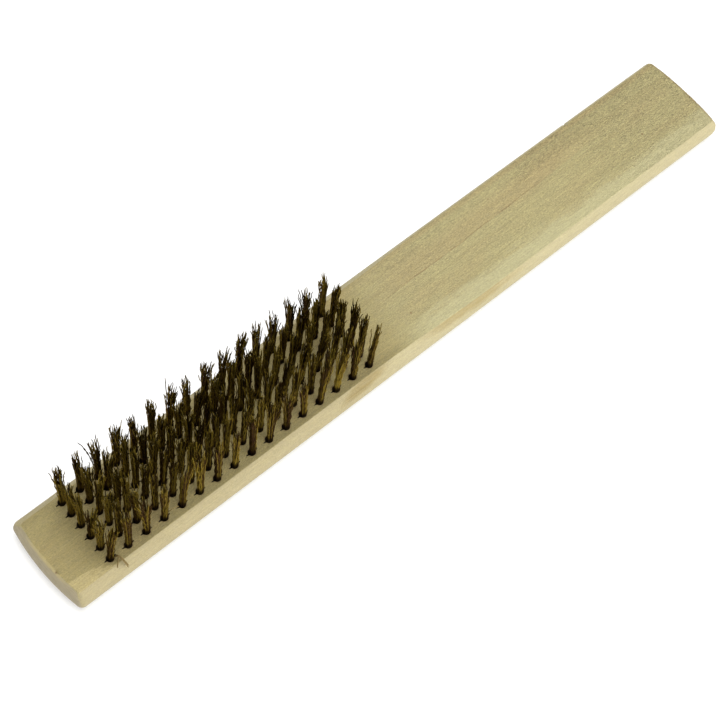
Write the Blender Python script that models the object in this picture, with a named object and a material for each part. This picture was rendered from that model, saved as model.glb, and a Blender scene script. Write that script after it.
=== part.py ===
"""A flat wooden wire brush: one planed block whose front half carries a field of stapled wire tufts.

The origin is the middle of the block's back. +X runs towards the bare grip and +Z is the way the
wires stand. Every tuft is a bundle of wires folded over a flat anchor at the bottom of a blind hole.
"""
import math

import bmesh
import bpy
from mathutils import Vector

MM = 0.001

# Wooden block
BLOCK_LENGTH = 262.2 * MM
BLOCK_WIDTH = 32.5 * MM
BLOCK_THICKNESS = 9.0 * MM
BRISTLE_END_BULGE = 1.25 * MM
GRIP_END_BULGE = 0.65 * MM
CORNER_RADIUS = 2.0 * MM
CORNER_STEPS = 4
END_STEPS = 8
EDGE_INSET = 1.7 * MM
SIDE_LEVELS = (-1.0, -0.8, -0.5, 0.0, 0.5, 0.8, 1.0)

# Shallow bevels planed along the top of the grip, which run out towards the bristles
GRIP_BEVEL_LINE = 9.0 * MM
GRIP_BEVEL_DROP = 0.4 * MM
GRIP_BEVEL_START = -12.0 * MM
GRIP_BEVEL_FULL = 8.0 * MM

# Sanded-off corners of the top at the bristle end
NOSE_BEVEL_LINE = 8.8 * MM
NOSE_BEVEL_LENGTH = 17.0 * MM
NOSE_BEVEL_DROP = 0.6 * MM

# Bristle field, whose middle lies a little to the +Y side of the block's middle
COLUMNS = 16
ROW_PAIRS = 3
COLUMN_PITCH = 6.5 * MM
ROW_PITCH = 4.43 * MM
FIRST_COLUMN = 16.1 * MM
FIELD_OFFSET = 0.2 * MM

# Blind holes, each with the slot that its anchor has cut on the way in
ROUND_SIDES = 8
HOLE_RADIUS = 1.25 * MM
HOLE_DEPTH = 6.6 * MM
SLOT_LENGTH = 3.8 * MM
CLEARANCE = 0.3 * MM

# Tufts: ring heights above the block's face, ring radii, and how far the bundle has leant there
TUFT_ROOT_RADIUS = 0.95 * MM
TUFT_WAIST_HEIGHT = 10.0 * MM
TUFT_WAIST_RADIUS = 1.2 * MM
TUFT_HEIGHT = 24.5 * MM
TUFT_TIP_RADIUS = 1.95 * MM
TUFT_LEAN = 0.55 * MM
TIP_RAGGED = 0.9 * MM

# Flat steel anchor, driven on edge through the fold of the bundle
ANCHOR_LENGTH = 3.2 * MM
ANCHOR_THICKNESS = 0.4 * MM
ANCHOR_HEIGHT = 1.4 * MM
ANCHOR_ABOVE_ROOT = 0.8 * MM

WOOD_COLOR = (0.52, 0.43, 0.23, 1.0)
WIRE_COLOR = (0.16, 0.11, 0.04, 1.0)


def clear_scene():
    for old in list(bpy.data.objects):
        bpy.data.objects.remove(old, do_unlink=True)


def make_material(name, color, roughness, metallic):
    material = bpy.data.materials.new(name)
    material.use_nodes = True
    shader = material.node_tree.nodes["Principled BSDF"]
    shader.inputs["Base Color"].default_value = color
    shader.inputs["Roughness"].default_value = roughness
    shader.inputs["Metallic"].default_value = metallic
    return material


def add_object(name, mesh, location=(0.0, 0.0, 0.0)):
    obj = bpy.data.objects.new(name, mesh)
    obj.location = location
    bpy.context.scene.collection.objects.link(obj)
    return obj


def finish_mesh(bm, name, material, smooth_angle):
    bmesh.ops.recalc_face_normals(bm, faces=bm.faces)
    mesh = bpy.data.meshes.new(name)
    bm.to_mesh(mesh)
    bm.free()
    mesh.materials.append(material)
    mesh.shade_smooth()
    mesh.set_sharp_from_angle(angle=math.radians(smooth_angle))
    return mesh


def loft(bm, rings, top_center=None):
    """Join rings of points into one closed skin; a top centre point makes the upper cap a fan."""
    loops = [[bm.verts.new(point) for point in ring] for ring in rings]
    count = len(rings[0])
    for lower, upper in zip(loops, loops[1:]):
        for i in range(count):
            j = (i + 1) % count
            bm.faces.new((lower[i], lower[j], upper[j], upper[i]))
    bm.faces.new(reversed(loops[0]))
    top = loops[-1]
    if top_center is None:
        bm.faces.new(top)
        return
    peak = bm.verts.new(top_center)
    for i in range(count):
        bm.faces.new((top[i], top[(i + 1) % count], peak))


def block_outline(inset):
    """Plan outline of the block, counter-clockwise, drawn in from its widest line by inset."""
    half_width = BLOCK_WIDTH / 2 - inset
    radius = CORNER_RADIUS - inset
    reach = half_width - radius
    points = []
    for sign, bulge in ((1, GRIP_END_BULGE), (-1, BRISTLE_END_BULGE)):
        crown = BLOCK_LENGTH / 2 - inset
        center_x = crown - bulge - radius
        for step in range(CORNER_STEPS):
            turn = math.pi / 2 * step / CORNER_STEPS
            points.append((sign * (center_x + radius * math.sin(turn)),
                           -sign * (reach + radius * math.cos(turn))))
        for step in range(END_STEPS + 1):
            across = -1 + 2 * step / END_STEPS
            points.append((sign * (crown - bulge * across ** 2), sign * reach * across))
        for step in range(CORNER_STEPS):
            turn = math.pi / 2 * (step + 1) / CORNER_STEPS
            points.append((sign * (center_x + radius * math.cos(turn)),
                           sign * (reach + radius * math.sin(turn))))
    return points


def block_rings():
    """The side bulges between crisp top and bottom edges, so its inset grows with the square of height."""
    middle = BLOCK_THICKNESS / 2
    for level in SIDE_LEVELS:
        outline = block_outline(EDGE_INSET * level ** 2)
        yield [(x, y, middle + level * middle) for x, y in outline]


def clamp01(value):
    return min(1.0, max(0.0, value))


def nose_bevel_reach(x, y):
    """How far a point lies past the slanting line that bounds a sanded nose corner, 0 to 1."""
    edge = BLOCK_WIDTH / 2 - EDGE_INSET
    along = (x + BLOCK_LENGTH / 2) / NOSE_BEVEL_LENGTH
    line = NOSE_BEVEL_LINE + (edge - NOSE_BEVEL_LINE) * along
    return clamp01((abs(y) - line) / (edge - NOSE_BEVEL_LINE))


def bevel_drop(x, y):
    """How far the top face is planed away at a point of its outline or of a fold line."""
    edge = BLOCK_WIDTH / 2 - EDGE_INSET
    across = clamp01((abs(y) - GRIP_BEVEL_LINE) / (edge - GRIP_BEVEL_LINE))
    along = clamp01((x - GRIP_BEVEL_START) / (GRIP_BEVEL_FULL - GRIP_BEVEL_START))
    return GRIP_BEVEL_DROP * across * along + NOSE_BEVEL_DROP * nose_bevel_reach(x, y)


def fold_planes():
    """Upright planes, each a point and a normal, along which the top face folds."""
    edge = BLOCK_WIDTH / 2 - EDGE_INSET
    nose = -BLOCK_LENGTH / 2
    yield Vector((GRIP_BEVEL_START, 0, 0)), Vector((1, 0, 0))
    yield Vector((GRIP_BEVEL_FULL, 0, 0)), Vector((1, 0, 0))
    for side in (-1, 1):
        yield Vector((0, side * GRIP_BEVEL_LINE, 0)), Vector((0, 1, 0))
        start = Vector((nose, side * NOSE_BEVEL_LINE, 0))
        run = Vector((NOSE_BEVEL_LENGTH, side * (edge - NOSE_BEVEL_LINE), 0))
        yield start, run.cross(Vector((0, 0, 1)))


def plane_top_bevels(bm):
    for point, normal in fold_planes():
        everything = list(bm.verts) + list(bm.edges) + list(bm.faces)
        bmesh.ops.bisect_plane(bm, geom=everything, plane_co=point, plane_no=normal)
    top = [vert for vert in bm.verts if vert.co.z > BLOCK_THICKNESS - 0.01 * MM]
    for vert in top:
        vert.co.z -= bevel_drop(vert.co.x, vert.co.y)
    warped = [face for face in bm.faces if all(vert in top for vert in face.verts)]
    bmesh.ops.triangulate(bm, faces=warped)
    bmesh.ops.dissolve_limit(bm, angle_limit=math.radians(0.2), verts=bm.verts, edges=bm.edges)


def tuft_places():
    """Column and row-pair number with the middle of each pair of tufts on the block's face."""
    first = -BLOCK_LENGTH / 2 + FIRST_COLUMN
    for column in range(COLUMNS):
        for pair in range(ROW_PAIRS):
            x = first + column * COLUMN_PITCH
            y = FIELD_OFFSET + ((ROW_PAIRS - 1) / 2 - pair) * 2 * ROW_PITCH
            yield column, pair, x, y


def octagon(radius):
    """Corner points of a round section, turned so that a flat faces each end of the block."""
    for k in range(ROUND_SIDES):
        turn = 2 * math.pi * (k + 0.5) / ROUND_SIDES
        yield radius * math.cos(turn), radius * math.sin(turn)


def hole_outline():
    """A round hole whose two flats towards the block's ends are pushed out into the anchor's slot."""
    corners = list(octagon(HOLE_RADIUS))
    flat = HOLE_RADIUS * math.sin(math.pi / ROUND_SIDES)
    ear = SLOT_LENGTH / 2
    half = ROUND_SIDES // 2
    return (corners[:half] + [(-ear, flat), (-ear, -flat)]
            + corners[half:] + [(ear, -flat), (ear, flat)])


def hole_cutter(material):
    bm = bmesh.new()
    floor = BLOCK_THICKNESS - HOLE_DEPTH
    mouth = BLOCK_THICKNESS + 1.0 * MM
    for _column, _pair, x, y in tuft_places():
        for side in (-1, 1):
            center_y = y + side * ROW_PITCH / 2
            outline = [(x + dx, center_y + dy) for dx, dy in hole_outline()]
            loft(bm, [[(px, py, z) for px, py in outline] for z in (floor, mouth)])
    cutter = add_object("hole_cutter", finish_mesh(bm, "hole_cutter", material, 30))
    cutter.display_type = "WIRE"
    cutter.hide_render = True
    return cutter


def make_handle_block(material):
    bm = bmesh.new()
    loft(bm, list(block_rings()))
    plane_top_bevels(bm)
    block = add_object("handle_block", finish_mesh(bm, "handle_block", material, 25))
    drill = block.modifiers.new("tuft_holes", "BOOLEAN")
    drill.operation = "DIFFERENCE"
    drill.solver = "EXACT"
    drill.object = hole_cutter(material)
    return block


def tuft_mesh(side, material):
    """One bundle in a pair: side is -1 or 1, and the bundle leans towards its partner."""
    base_y = side * ROW_PITCH / 2
    root = -HOLE_DEPTH + CLEARANCE
    stations = (
        (root, TUFT_ROOT_RADIUS, 0.0),
        (0.0, TUFT_ROOT_RADIUS, 0.0),
        (TUFT_WAIST_HEIGHT, TUFT_WAIST_RADIUS, TUFT_LEAN * (TUFT_WAIST_HEIGHT / TUFT_HEIGHT) ** 2),
        (TUFT_HEIGHT, TUFT_TIP_RADIUS, TUFT_LEAN),
    )
    rings = []
    for height, radius, lean in stations:
        center_y = base_y - side * lean
        rings.append([(dx, center_y + dy, height) for dx, dy in octagon(radius)])
    rings[-1] = [(x, y, z - TIP_RAGGED * (k % 2)) for k, (x, y, z) in enumerate(rings[-1])]
    bm = bmesh.new()
    peak = (0.0, base_y - side * TUFT_LEAN, TUFT_HEIGHT - TIP_RAGGED / 2)
    loft(bm, rings, top_center=peak)
    return finish_mesh(bm, "tuft", material, 40)


def anchor_mesh(side, material):
    bottom = -HOLE_DEPTH + CLEARANCE + ANCHOR_ABOVE_ROOT
    half_length = ANCHOR_LENGTH / 2
    half_thickness = ANCHOR_THICKNESS / 2
    base_y = side * ROW_PITCH / 2
    corners = ((-1, -1), (1, -1), (1, 1), (-1, 1))
    outline = [(sx * half_length, base_y + sy * half_thickness) for sx, sy in corners]
    bm = bmesh.new()
    loft(bm, [[(x, y, z) for x, y in outline] for z in (bottom, bottom + ANCHOR_HEIGHT)])
    return finish_mesh(bm, "anchor", material, 30)


def tuft_pair_mesh(material):
    """Two neighbouring bundles with their anchors, one solid where their splayed tips meet."""
    whole = add_object("pair_base", tuft_mesh(-1, material))
    helpers = [add_object("pair_tuft", tuft_mesh(1, material))]
    helpers += [add_object("pair_anchor", anchor_mesh(side, material)) for side in (-1, 1)]
    for helper in helpers:
        join = whole.modifiers.new(helper.name, "BOOLEAN")
        join.operation = "UNION"
        join.solver = "EXACT"
        join.object = helper
    graph = bpy.context.evaluated_depsgraph_get()
    mesh = bpy.data.meshes.new_from_object(whole.evaluated_get(graph))
    mesh.name = "tuft_pair"
    for helper in helpers + [whole]:
        bpy.data.objects.remove(helper, do_unlink=True)
    return mesh


def make_tuft_pairs(material):
    mesh = tuft_pair_mesh(material)
    for column, pair, x, y in tuft_places():
        rows = f"{2 * pair + 1}{2 * pair + 2}"
        name = f"tuft_pair_col{column + 1:02d}_rows{rows}"
        add_object(name, mesh, (x, y, BLOCK_THICKNESS))


def main():
    clear_scene()
    wood = make_material("planed_wood", WOOD_COLOR, 0.65, 0.0)
    wire = make_material("brass_plated_wire", WIRE_COLOR, 0.4, 0.9)
    make_handle_block(wood)
    make_tuft_pairs(wire)


main()
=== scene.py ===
"""The looks of a flat wooden wire brush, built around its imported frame.

The block becomes a planed wooden board with drilled and slotted holes, and every tuft becomes a bundle
of separate crimped wires, each folded in half under a flat steel anchor at the bottom of its hole.
"""
import math
import random

import bpy
import numpy as np
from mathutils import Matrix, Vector, noise


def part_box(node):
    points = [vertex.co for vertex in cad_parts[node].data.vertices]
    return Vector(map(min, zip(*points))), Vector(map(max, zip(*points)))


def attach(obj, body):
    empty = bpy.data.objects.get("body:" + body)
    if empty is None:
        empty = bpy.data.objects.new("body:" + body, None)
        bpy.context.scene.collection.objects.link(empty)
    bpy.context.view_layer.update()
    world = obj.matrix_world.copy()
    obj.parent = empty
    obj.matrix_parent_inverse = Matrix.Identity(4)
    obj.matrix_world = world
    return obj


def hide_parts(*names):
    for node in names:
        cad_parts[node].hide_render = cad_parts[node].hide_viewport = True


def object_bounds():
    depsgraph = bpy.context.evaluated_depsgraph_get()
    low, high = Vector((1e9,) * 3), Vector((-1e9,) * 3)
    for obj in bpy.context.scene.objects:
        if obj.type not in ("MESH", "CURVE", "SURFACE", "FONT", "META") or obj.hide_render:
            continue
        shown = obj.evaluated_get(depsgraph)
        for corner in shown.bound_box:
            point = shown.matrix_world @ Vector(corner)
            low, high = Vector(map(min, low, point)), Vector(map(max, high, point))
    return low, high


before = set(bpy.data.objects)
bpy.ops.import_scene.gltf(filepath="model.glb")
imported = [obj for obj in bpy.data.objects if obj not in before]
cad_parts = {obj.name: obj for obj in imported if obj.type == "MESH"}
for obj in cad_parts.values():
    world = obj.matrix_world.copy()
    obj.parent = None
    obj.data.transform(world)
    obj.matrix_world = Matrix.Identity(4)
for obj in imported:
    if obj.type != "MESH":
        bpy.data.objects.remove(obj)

MM = 0.001
CAD_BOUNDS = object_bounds()

# Wooden block: rim and mesh sizes, and the profile of its sides
RIM_ROUNDING = 0.14 * MM
RIM_STEPS = ((0.45, 0.08), (0.08, 0.42))
EDGE_INSET = 1.7 * MM
CORNER_RADIUS = 2.0 * MM
CORNER_SHRINK = 0.5
BRISTLE_END_BULGE = 1.25 * MM
GRIP_END_BULGE = 0.65 * MM
CORNER_STEPS = 6
SIDE_STEPS = 40
CELLS_LONG = 470
CELLS_ACROSS = 54
SIDE_LEVELS = (0.97, 0.9, 0.78, 0.6, 0.35, 0.0, -0.35, -0.6, -0.78, -0.9, -0.97)
SHARP_ANGLE = 40
CRISP_ANGLE = 30
WIRE_ANGLE = 60

# Over the bristles the long top edges are rounded off further than along the grip
EXTRA_INSET = 1.1 * MM
EXTRA_INSET_START = 30.0 * MM
EXTRA_INSET_FULL = -12.0 * MM

# Planed bevels of the top: along the grip, and at the corners of the bristle end
GRIP_BEVEL_LINE = 9.0 * MM
GRIP_BEVEL_DROP = 0.4 * MM
GRIP_BEVEL_START = -12.0 * MM
GRIP_BEVEL_FULL = 8.0 * MM
NOSE_BEVEL_LINE = 8.8 * MM
NOSE_BEVEL_LENGTH = 17.0 * MM
NOSE_BEVEL_DROP = 0.6 * MM

# Relief of the top in millimetres: slow waves, and fibres torn up in a far strip and towards the grip's end.
# A scale is noise features per millimetre along and across, a ramp is where torn fibres start and are full.
WAVE_SCALE = (0.04, 0.12)
WAVE_HEIGHT = 0.035
TEAR_SCALE = (0.75, 1.4)
TEAR_HEIGHT = 0.22
TEAR_LEVEL = 0.35
TEAR_POWER = 0.7
TEAR_LEAST = 0.12
TEAR_STRIP_ALONG = (62.0, 82.0)
TEAR_STRIP_ACROSS = (7.5, 10.5)
TEAR_END_ALONG = (95.0, 125.0)
TEAR_END_SHARE = 0.7

# Dents in the top (place along and across, radius and depth, in millimetres), a nick in the far edge,
# and ragged edges at both ends
DENTS = (
    (-129.3, -4.8, 0.9, 0.55),
    (-121.7, -11.8, 0.8, 0.3),
    (-128.5, 4.0, 0.7, 0.2),
    (-128.2, -9.2, 0.8, 0.22),
)
NICK_PLACE = 90.15 * MM
NICK_WIDTH = 0.8 * MM
NICK_DEPTH = 0.9 * MM
END_WEAR_REACH = 3.0 * MM
END_WEAR_DEPTH = 0.56 * MM
END_WEAR_SCALE = (0.9, 0.5)

# Drilled holes and the slots that the anchors cut on the way in
HOLE_RADIUS = 1.25 * MM
HOLE_DEPTH = 6.6 * MM
HOLE_SIDES = 24
SLOT_LENGTH = 4.1 * MM
SLOT_WIDTH = 0.6 * MM
SLOT_TIP_SHARE = 0.5
CUTTER_RISE = 1.0 * MM

# Flat anchors
ANCHOR_LENGTH = 3.2 * MM
ANCHOR_THICKNESS = 0.34 * MM
ANCHOR_HEIGHT = 1.4 * MM
ANCHOR_BOTTOM = -5.25 * MM

# Folded wires. Each row of folds is its distance from the anchor's middle and how many wires it holds.
WIRE_RADIUS = 0.135 * MM
WIRE_SIDES = 5
FOLD_CENTER = -5.3 * MM
FOLD_ROWS = ((0.34, 7), (0.605, 7), (0.87, 4))
FOLD_PITCH = 0.265 * MM
MOUTH_CLOSING = 0.18 * MM
MOUTH_SHIFT = (0.19 * MM, -0.16 * MM)
MOUTH_SWING = 0.04
TIP_NARROWING = 0.55
FREE_STEPS = 19
FOLD_STEPS = 6
CRIMP_LENGTH = 4.6 * MM
CRIMP_LENGTH_RANGE = (0.8, 1.25)
CRIMP_HEIGHT = 0.15 * MM
CRIMP_HEIGHT_RANGE = (0.5, 1.4)
CRIMP_ROOT = 5
COLUMNS = 16
ROWS = 6
TIP_CLEARANCE = 0.1 * MM
SIDE_CLEARANCE = 0.3 * MM

# How a tuft stands, in millimetres: a middle and a swing for a normal draw, or the two ends of a range
TUFT_HEIGHT = 21.9 * MM
HEIGHT_SWING = 0.9
HEIGHT_RANGE = (-2.2, 1.2)
LEAN_ALONG = (0.1, 0.55)
LEAN_ACROSS = (0.0, 0.4)
SPREAD_RANGE = (0.1, 0.6)
TONE_RANGE = (-0.12, 0.12)
STRAY_SHARE_RANGE = (0.06, 0.16)
STRAY_REACH = 2.8
SHORTER_BY = 5.2 * MM
CLUMP_COUNTS = (2, 2, 3)
CLUMP_TURN = 2.4
CLUMP_TURN_RANGE = (-0.4, 0.4)
CLUMP_REACH_RANGE = (0.15, 1.0)

# How a leg differs from its tuft: how far its tip is above or usually above the tuft's height, the swings
# of its bends in millimetres, and how late in its length each bend comes
LONGER_BY = 1.5 * MM
USUALLY_LONGER_BY = 0.3 * MM
SPREAD_BASE = 1.1 * MM
STRAY_SWING = 0.28
FLICK_SWING = 0.16
CLUMP_CHOICE_SWING = 0.5
EARLY_SPREAD = 0.25
LEAN_POWER = 1.6
SPREAD_POWER = 2.5
STRAY_POWER = 2
FLICK_POWER = 5

# Tufts that stand out: the first column, both edge rows, the corner whose tufts are toned brighter as
# painted light from the left, the fanned far tufts, the short tuft at the near corner, and the pointed one
# at the end of the near row
FIRST_COLUMN_SHORTER = 1.6 * MM
FIRST_COLUMN_LEAN = -0.6 * MM
FIRST_COLUMN_SPREAD = 1.3
EDGE_ROW_SPREAD = 1.1
EDGE_ROW_STRAYS = 0.06
PAINTED_LIGHT_COLUMNS = 2
PAINTED_LIGHT_FROM_ROW = 3
PAINTED_LIGHT_TONE = 0.15
FAN_TALLER = 1.2 * MM
FAN_LEAN = (-0.5, 0.2)
FAN_SPREAD = 0.9 * MM
FAN_STRAY_SHARE = 0.4
FAN_STRAY_REACH = {1: 4.6, 3: 2.8}
NEAR_CORNER_HEIGHT = 17.0 * MM
NEAR_CORNER_LEAN = (1.4, 0.2)
POINTED_HEIGHT = 22.4 * MM
POINTED_LEAN = (1.6, 0.2)
POINTED_SPREAD = -0.55 * MM
POINTED_CLUMP_REACH = 0.2 * MM
POINTED_SHORTER_BY = 14.0 * MM
POINTED_TONE = -0.3

# Loose wires, by column and row: how many lie together, and their bends in millimetres from the hole's
# middle on the top face. Wires that lie together draw apart to the twins' distances at their tips.
STRAY_TONE = 2.2
STRAY_TWINS = ((0.0, 0.0, 0.0), (0.3, 0.16, 0.06), (-0.12, -0.26, 0.1))
STRAY_TWIN_SPREAD = (0.3, 1.0)
STRAY_WIRES = (
    (1, 6, 3, (
        ((0.3, -0.2, -4.0), (0.7, -0.6, 0.3), (1.0, -0.9, 1.4), (1.7, -1.6, 2.6), (2.2, -3.4, 1.2),
         (2.6, -4.9, -1.0)),
        ((0.2, 0.1, -4.0), (0.6, -0.5, 0.4), (0.95, -0.8, 1.2), (1.6, -1.5, 2.4), (1.2, -2.4, 1.6),
         (-0.2, -3.5, 0.2)),
    )),
    (4, 6, 1, (
        ((0.1, -0.1, -4.0), (0.5, -0.3, 3.0), (2.4, -0.9, 4.4), (4.4, -1.2, 4.0)),
    )),
)

# Studio, in metres. A softbox is its name, its place, what it faces, its size and its power.
CAMERA_PLACE = (-0.23595, -0.19497, 0.5473)
CAMERA_TURN = (27.638, -4.340, -41.369)
CAMERA_LENS = 100.87
SENSOR_WIDTH = 36.0
CLIP_START = 0.01
FLOOR_HALF = 2.5
FLOOR_DROP = 0.05 * MM
FLOOR_GLOW = 0.4
AMBIENT_LIGHT = 0.56
SOFTBOXES = (
    ("overhead_softbox", (0.1, 0.05, 1.15), (0.0, 0.0, 0.0), (1.0, 0.8), 13.0),
    ("near_softbox", (0.25, -0.9, 0.22), (0.03, 0.0, 0.0), (1.2, 0.35), 9.2),
    ("left_softbox", (-2.2, -0.9, 1.1), (0.0, 0.0, 0.0), (1.4, 1.2), 10.1),
)


# ---- node materials

class Shader:
    """A material's node tree with short calls for its nodes; numbers and sockets both feed an input."""

    def __init__(self, name):
        self.material = bpy.data.materials.new(name)
        self.material.use_nodes = True
        self.tree = self.material.node_tree
        self.surface = self.tree.nodes["Principled BSDF"]

    def feed(self, socket, value):
        if isinstance(value, bpy.types.NodeSocket):
            self.tree.links.new(value, socket)
        else:
            socket.default_value = value

    def node(self, kind, inputs=(), **settings):
        made = self.tree.nodes.new(kind)
        for key, value in settings.items():
            setattr(made, key, value)
        for key, value in dict(inputs).items():
            self.feed(made.inputs[key], value)
        return made

    def math(self, operation, first, second=0.0, third=0.0, clamp=False):
        inputs = {0: first, 1: second, 2: third}
        return self.node("ShaderNodeMath", inputs, operation=operation, use_clamp=clamp).outputs[0]

    def position(self):
        """Object coordinates in millimetres."""
        place = self.node("ShaderNodeTexCoord").outputs["Object"]
        scaled = self.node("ShaderNodeVectorMath", {0: place, "Scale": 1 / MM}, operation="SCALE")
        return scaled.outputs[0]

    def split(self, vector):
        return self.node("ShaderNodeSeparateXYZ", {0: vector}).outputs

    def noise(self, vector, stretch=(1.0, 1.0, 1.0), detail=2.0, roughness=0.5, offset=0.0):
        """Noise from 0 to 1 whose features are 1 / stretch wide along each axis."""
        inputs = {"Vector": vector, "Scale": stretch, "Location": (offset, offset, offset)}
        mapped = self.node("ShaderNodeMapping", inputs).outputs[0]
        inputs = {"Vector": mapped, "Scale": 1.0, "Detail": detail, "Roughness": roughness}
        return self.node("ShaderNodeTexNoise", inputs).outputs["Fac"]

    def span(self, value, low, high, to_low=0.0, to_high=1.0):
        """Smooth step of value from low to high."""
        inputs = {0: value, 1: low, 2: high, 3: to_low, 4: to_high}
        return self.node("ShaderNodeMapRange", inputs, interpolation_type="SMOOTHSTEP").outputs[0]

    def window(self, value, middle, half, soft):
        """1 where value is within half of middle, falling to 0 over soft."""
        away = self.math("ABSOLUTE", self.math("SUBTRACT", value, middle))
        return self.span(away, half, half + soft, 1.0, 0.0)

    def times(self, *factors):
        total = factors[0]
        for factor in factors[1:]:
            total = self.math("MULTIPLY", total, factor)
        return total

    def mix(self, amount, first, second, blend="MIX"):
        made = self.node("ShaderNodeMix", {0: amount, 6: first, 7: second},
                         data_type="RGBA", blend_type=blend)
        return made.outputs[2]

    def shade(self, color, value, low, high):
        """Color made darker or lighter, from low to high times, as value goes from 0 to 1."""
        factor = self.node("ShaderNodeMapRange", {0: value, 1: 0.25, 2: 0.75, 3: low, 4: high})
        gray = self.node("ShaderNodeCombineColor", {i: factor.outputs[0] for i in range(3)})
        return self.mix(1.0, color, gray.outputs[0], "MULTIPLY")

    def bump(self, height, strength, distance, under=None):
        inputs = {"Height": height, "Strength": strength, "Distance": distance}
        if under is not None:
            inputs["Normal"] = under
        return self.node("ShaderNodeBump", inputs).outputs[0]

    def finish(self, color, roughness, normal=None):
        self.feed(self.surface.inputs["Base Color"], color)
        self.feed(self.surface.inputs["Roughness"], roughness)
        if normal is not None:
            self.feed(self.surface.inputs["Normal"], normal)
        return self.material


def rgb(red, green, blue):
    return (red, green, blue, 1.0)


WOOD_PALE = rgb(0.301, 0.261, 0.117)
# Planed facet of the grip: a painted highlight of the near lamp
WOOD_FACET_HIGHLIGHT = rgb(0.346, 0.317, 0.166)
WOOD_SIDE = rgb(0.354, 0.306, 0.168)
# Lower side: painted bounce light from the floor
WOOD_SIDE_BOUNCE_LIGHT = rgb(0.344, 0.317, 0.196)
WOOD_TAN = rgb(0.286, 0.223, 0.097)
WOOD_BAND = rgb(0.263, 0.219, 0.093)
WOOD_STREAK = rgb(0.252, 0.192, 0.066)
WOOD_LINE = rgb(0.17, 0.107, 0.04)
WOOD_END = rgb(0.309, 0.26, 0.158)
# Pale rim colour: wear, and a painted highlight on rounded edges and on the near bevel
WOOD_WEAR_AND_HIGHLIGHT = rgb(0.393, 0.321, 0.141)
WOOD_TORN = rgb(1.17, 1.165, 1.18)
# Painted shade for the walls of the holes
WOOD_HOLE_SHADE = rgb(0.02, 0.012, 0.005)
# Top round the bristles: a yellower wood colour, which also paints in the shade that the tufts cast
FIELD_TINT_AND_SHADE = rgb(0.837, 0.787, 0.662)
# Sides beside the bristles: a slightly yellower wood colour, and painted shade
FIELD_SIDE_TINT_AND_SHADE = rgb(0.90, 0.875, 0.83)
# Painted shade: a grey darkening of the near strip in front of the bristles, as if shaded by the tufts
FIELD_STRIP_SHADE = rgb(0.85, 0.85, 0.84)

WIRE_TARNISH = rgb(0.023, 0.0135, 0.0022)
WIRE_BRASS = rgb(0.25, 0.184, 0.03)
# Painted shade at the foot of each tuft
WIRE_FOOT_SHADE = rgb(0.008, 0.005, 0.003)
WIRE_EDGE_TINT = rgb(0.67, 0.465, 0.196)
WIRE_BRIGHT = rgb(0.22, 0.165, 0.07)

ANCHOR_DARK = rgb(0.22, 0.22, 0.22)
ANCHOR_LIGHT = rgb(0.42, 0.41, 0.38)
FLOOR_DARK = rgb(0.60, 0.60, 0.60)
FLOOR_LIGHT = rgb(0.62, 0.62, 0.62)
WHITE = rgb(1.0, 1.0, 1.0)

# The wood's noises: features per millimetre along, across and up, then detail, roughness and offset
WOOD_NOISES = {
    "bands": ((0.012, 0.32, 0.32), 3.0, 0.55, 0.0),
    "blotch": ((0.035, 0.12, 0.12), 2.0, 0.5, 31.0),
    "fibres": ((0.13, 2.4, 2.4), 3.0, 0.65, 11.0),
    "fine_fibres": ((0.28, 5.5, 5.5), 2.0, 0.6, 5.0),
    "mottle": ((0.55, 0.9, 0.9), 3.0, 0.6, 23.0),
    "grit": ((1.5, 3.0, 3.0), 2.0, 0.75, 29.0),
    "squiggle": ((0.75, 1.3, 1.3), 2.0, 0.6, 17.0),
    "saw": ((2.0, 0.25, 5.0), 3.0, 0.6, 2.0),
    "line_wander": ((0.05, 0.0, 0.0), 2.0, 0.5, 3.0),
    "line_breaks": ((0.16, 0.0, 0.0), 3.0, 0.7, 7.0),
    "strip_edge": ((0.07, 0.5, 0.5), 4.0, 0.6, 41.0),
}

# A ramp is where a mask is empty and where it is full. Four numbers add its two end values.
# How squarely a face looks along an axis
END_FACING = (0.55, 0.75)
SIDE_FACING = (0.36, 0.54)
NEAR_FACING = (0.35, 0.7)
TOP_FACING = (0.84, 0.93)
# Along the block, in millimetres
GRIP_ALONG = (-8.0, 12.0)
TAN_ALONG = (112.0, 70.0)
GRAIN_LINE_ALONG = (78.0, 60.0)
FIELD_ALONG = (3.0, -13.0)
FIELD_SIDE_ALONG = (2.0, -30.0)
FIELD_STRIP_ALONG = (4.0, -12.0)
TORN_END_ALONG = (60.0, 105.0)
TORN_STRIP_ALONG = (50.0, 70.0)
# Across the block, far side positive
FAR_EDGE_ACROSS = (12.2, 13.6)
FIELD_STRIP_ACROSS = (-10.4, -12.2)
TORN_STRIP_ACROSS = (6.0, 8.5)
# From the tip of the bristle end
NOSE_BEVEL_FROM_NOSE = (30.0, 16.0)
FIELD_STRIP_FROM_NOSE = (18.0, 30.0)
RIM_FROM_NOSE = (2.3, 1.7)
# Below the top face
UPPER_BELOW_TOP = (1.5, 1.0)
RIM_BELOW_TOP = (0.9, 0.4)
HOLE_WALL_BELOW_TOP = (0.12, 0.5)
# Above the back, and the same as shares of the thickness
HOLE_SHADE_UP = (1.5, 2.0)
LOW_SIDE_SHARES = (0.55, 0.2)
# Past the grain line, past the grip's end, from the middle of a hole, and round the field of holes
TAN_PAST_LINE = (-0.4, 0.5)
TAN_FADE_PAST_LINE = (9.0, 3.0)
GRIP_RIM_PAST_END = (-2.6, -1.9)
HOLE_RIM = (HOLE_RADIUS / MM + 0.05, HOLE_RADIUS / MM + 0.5, 0.4, 0.0)
HOLE_WALL = (2.15, 2.1)
FIELD_MARGIN = (2.0, 0.1)

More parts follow.
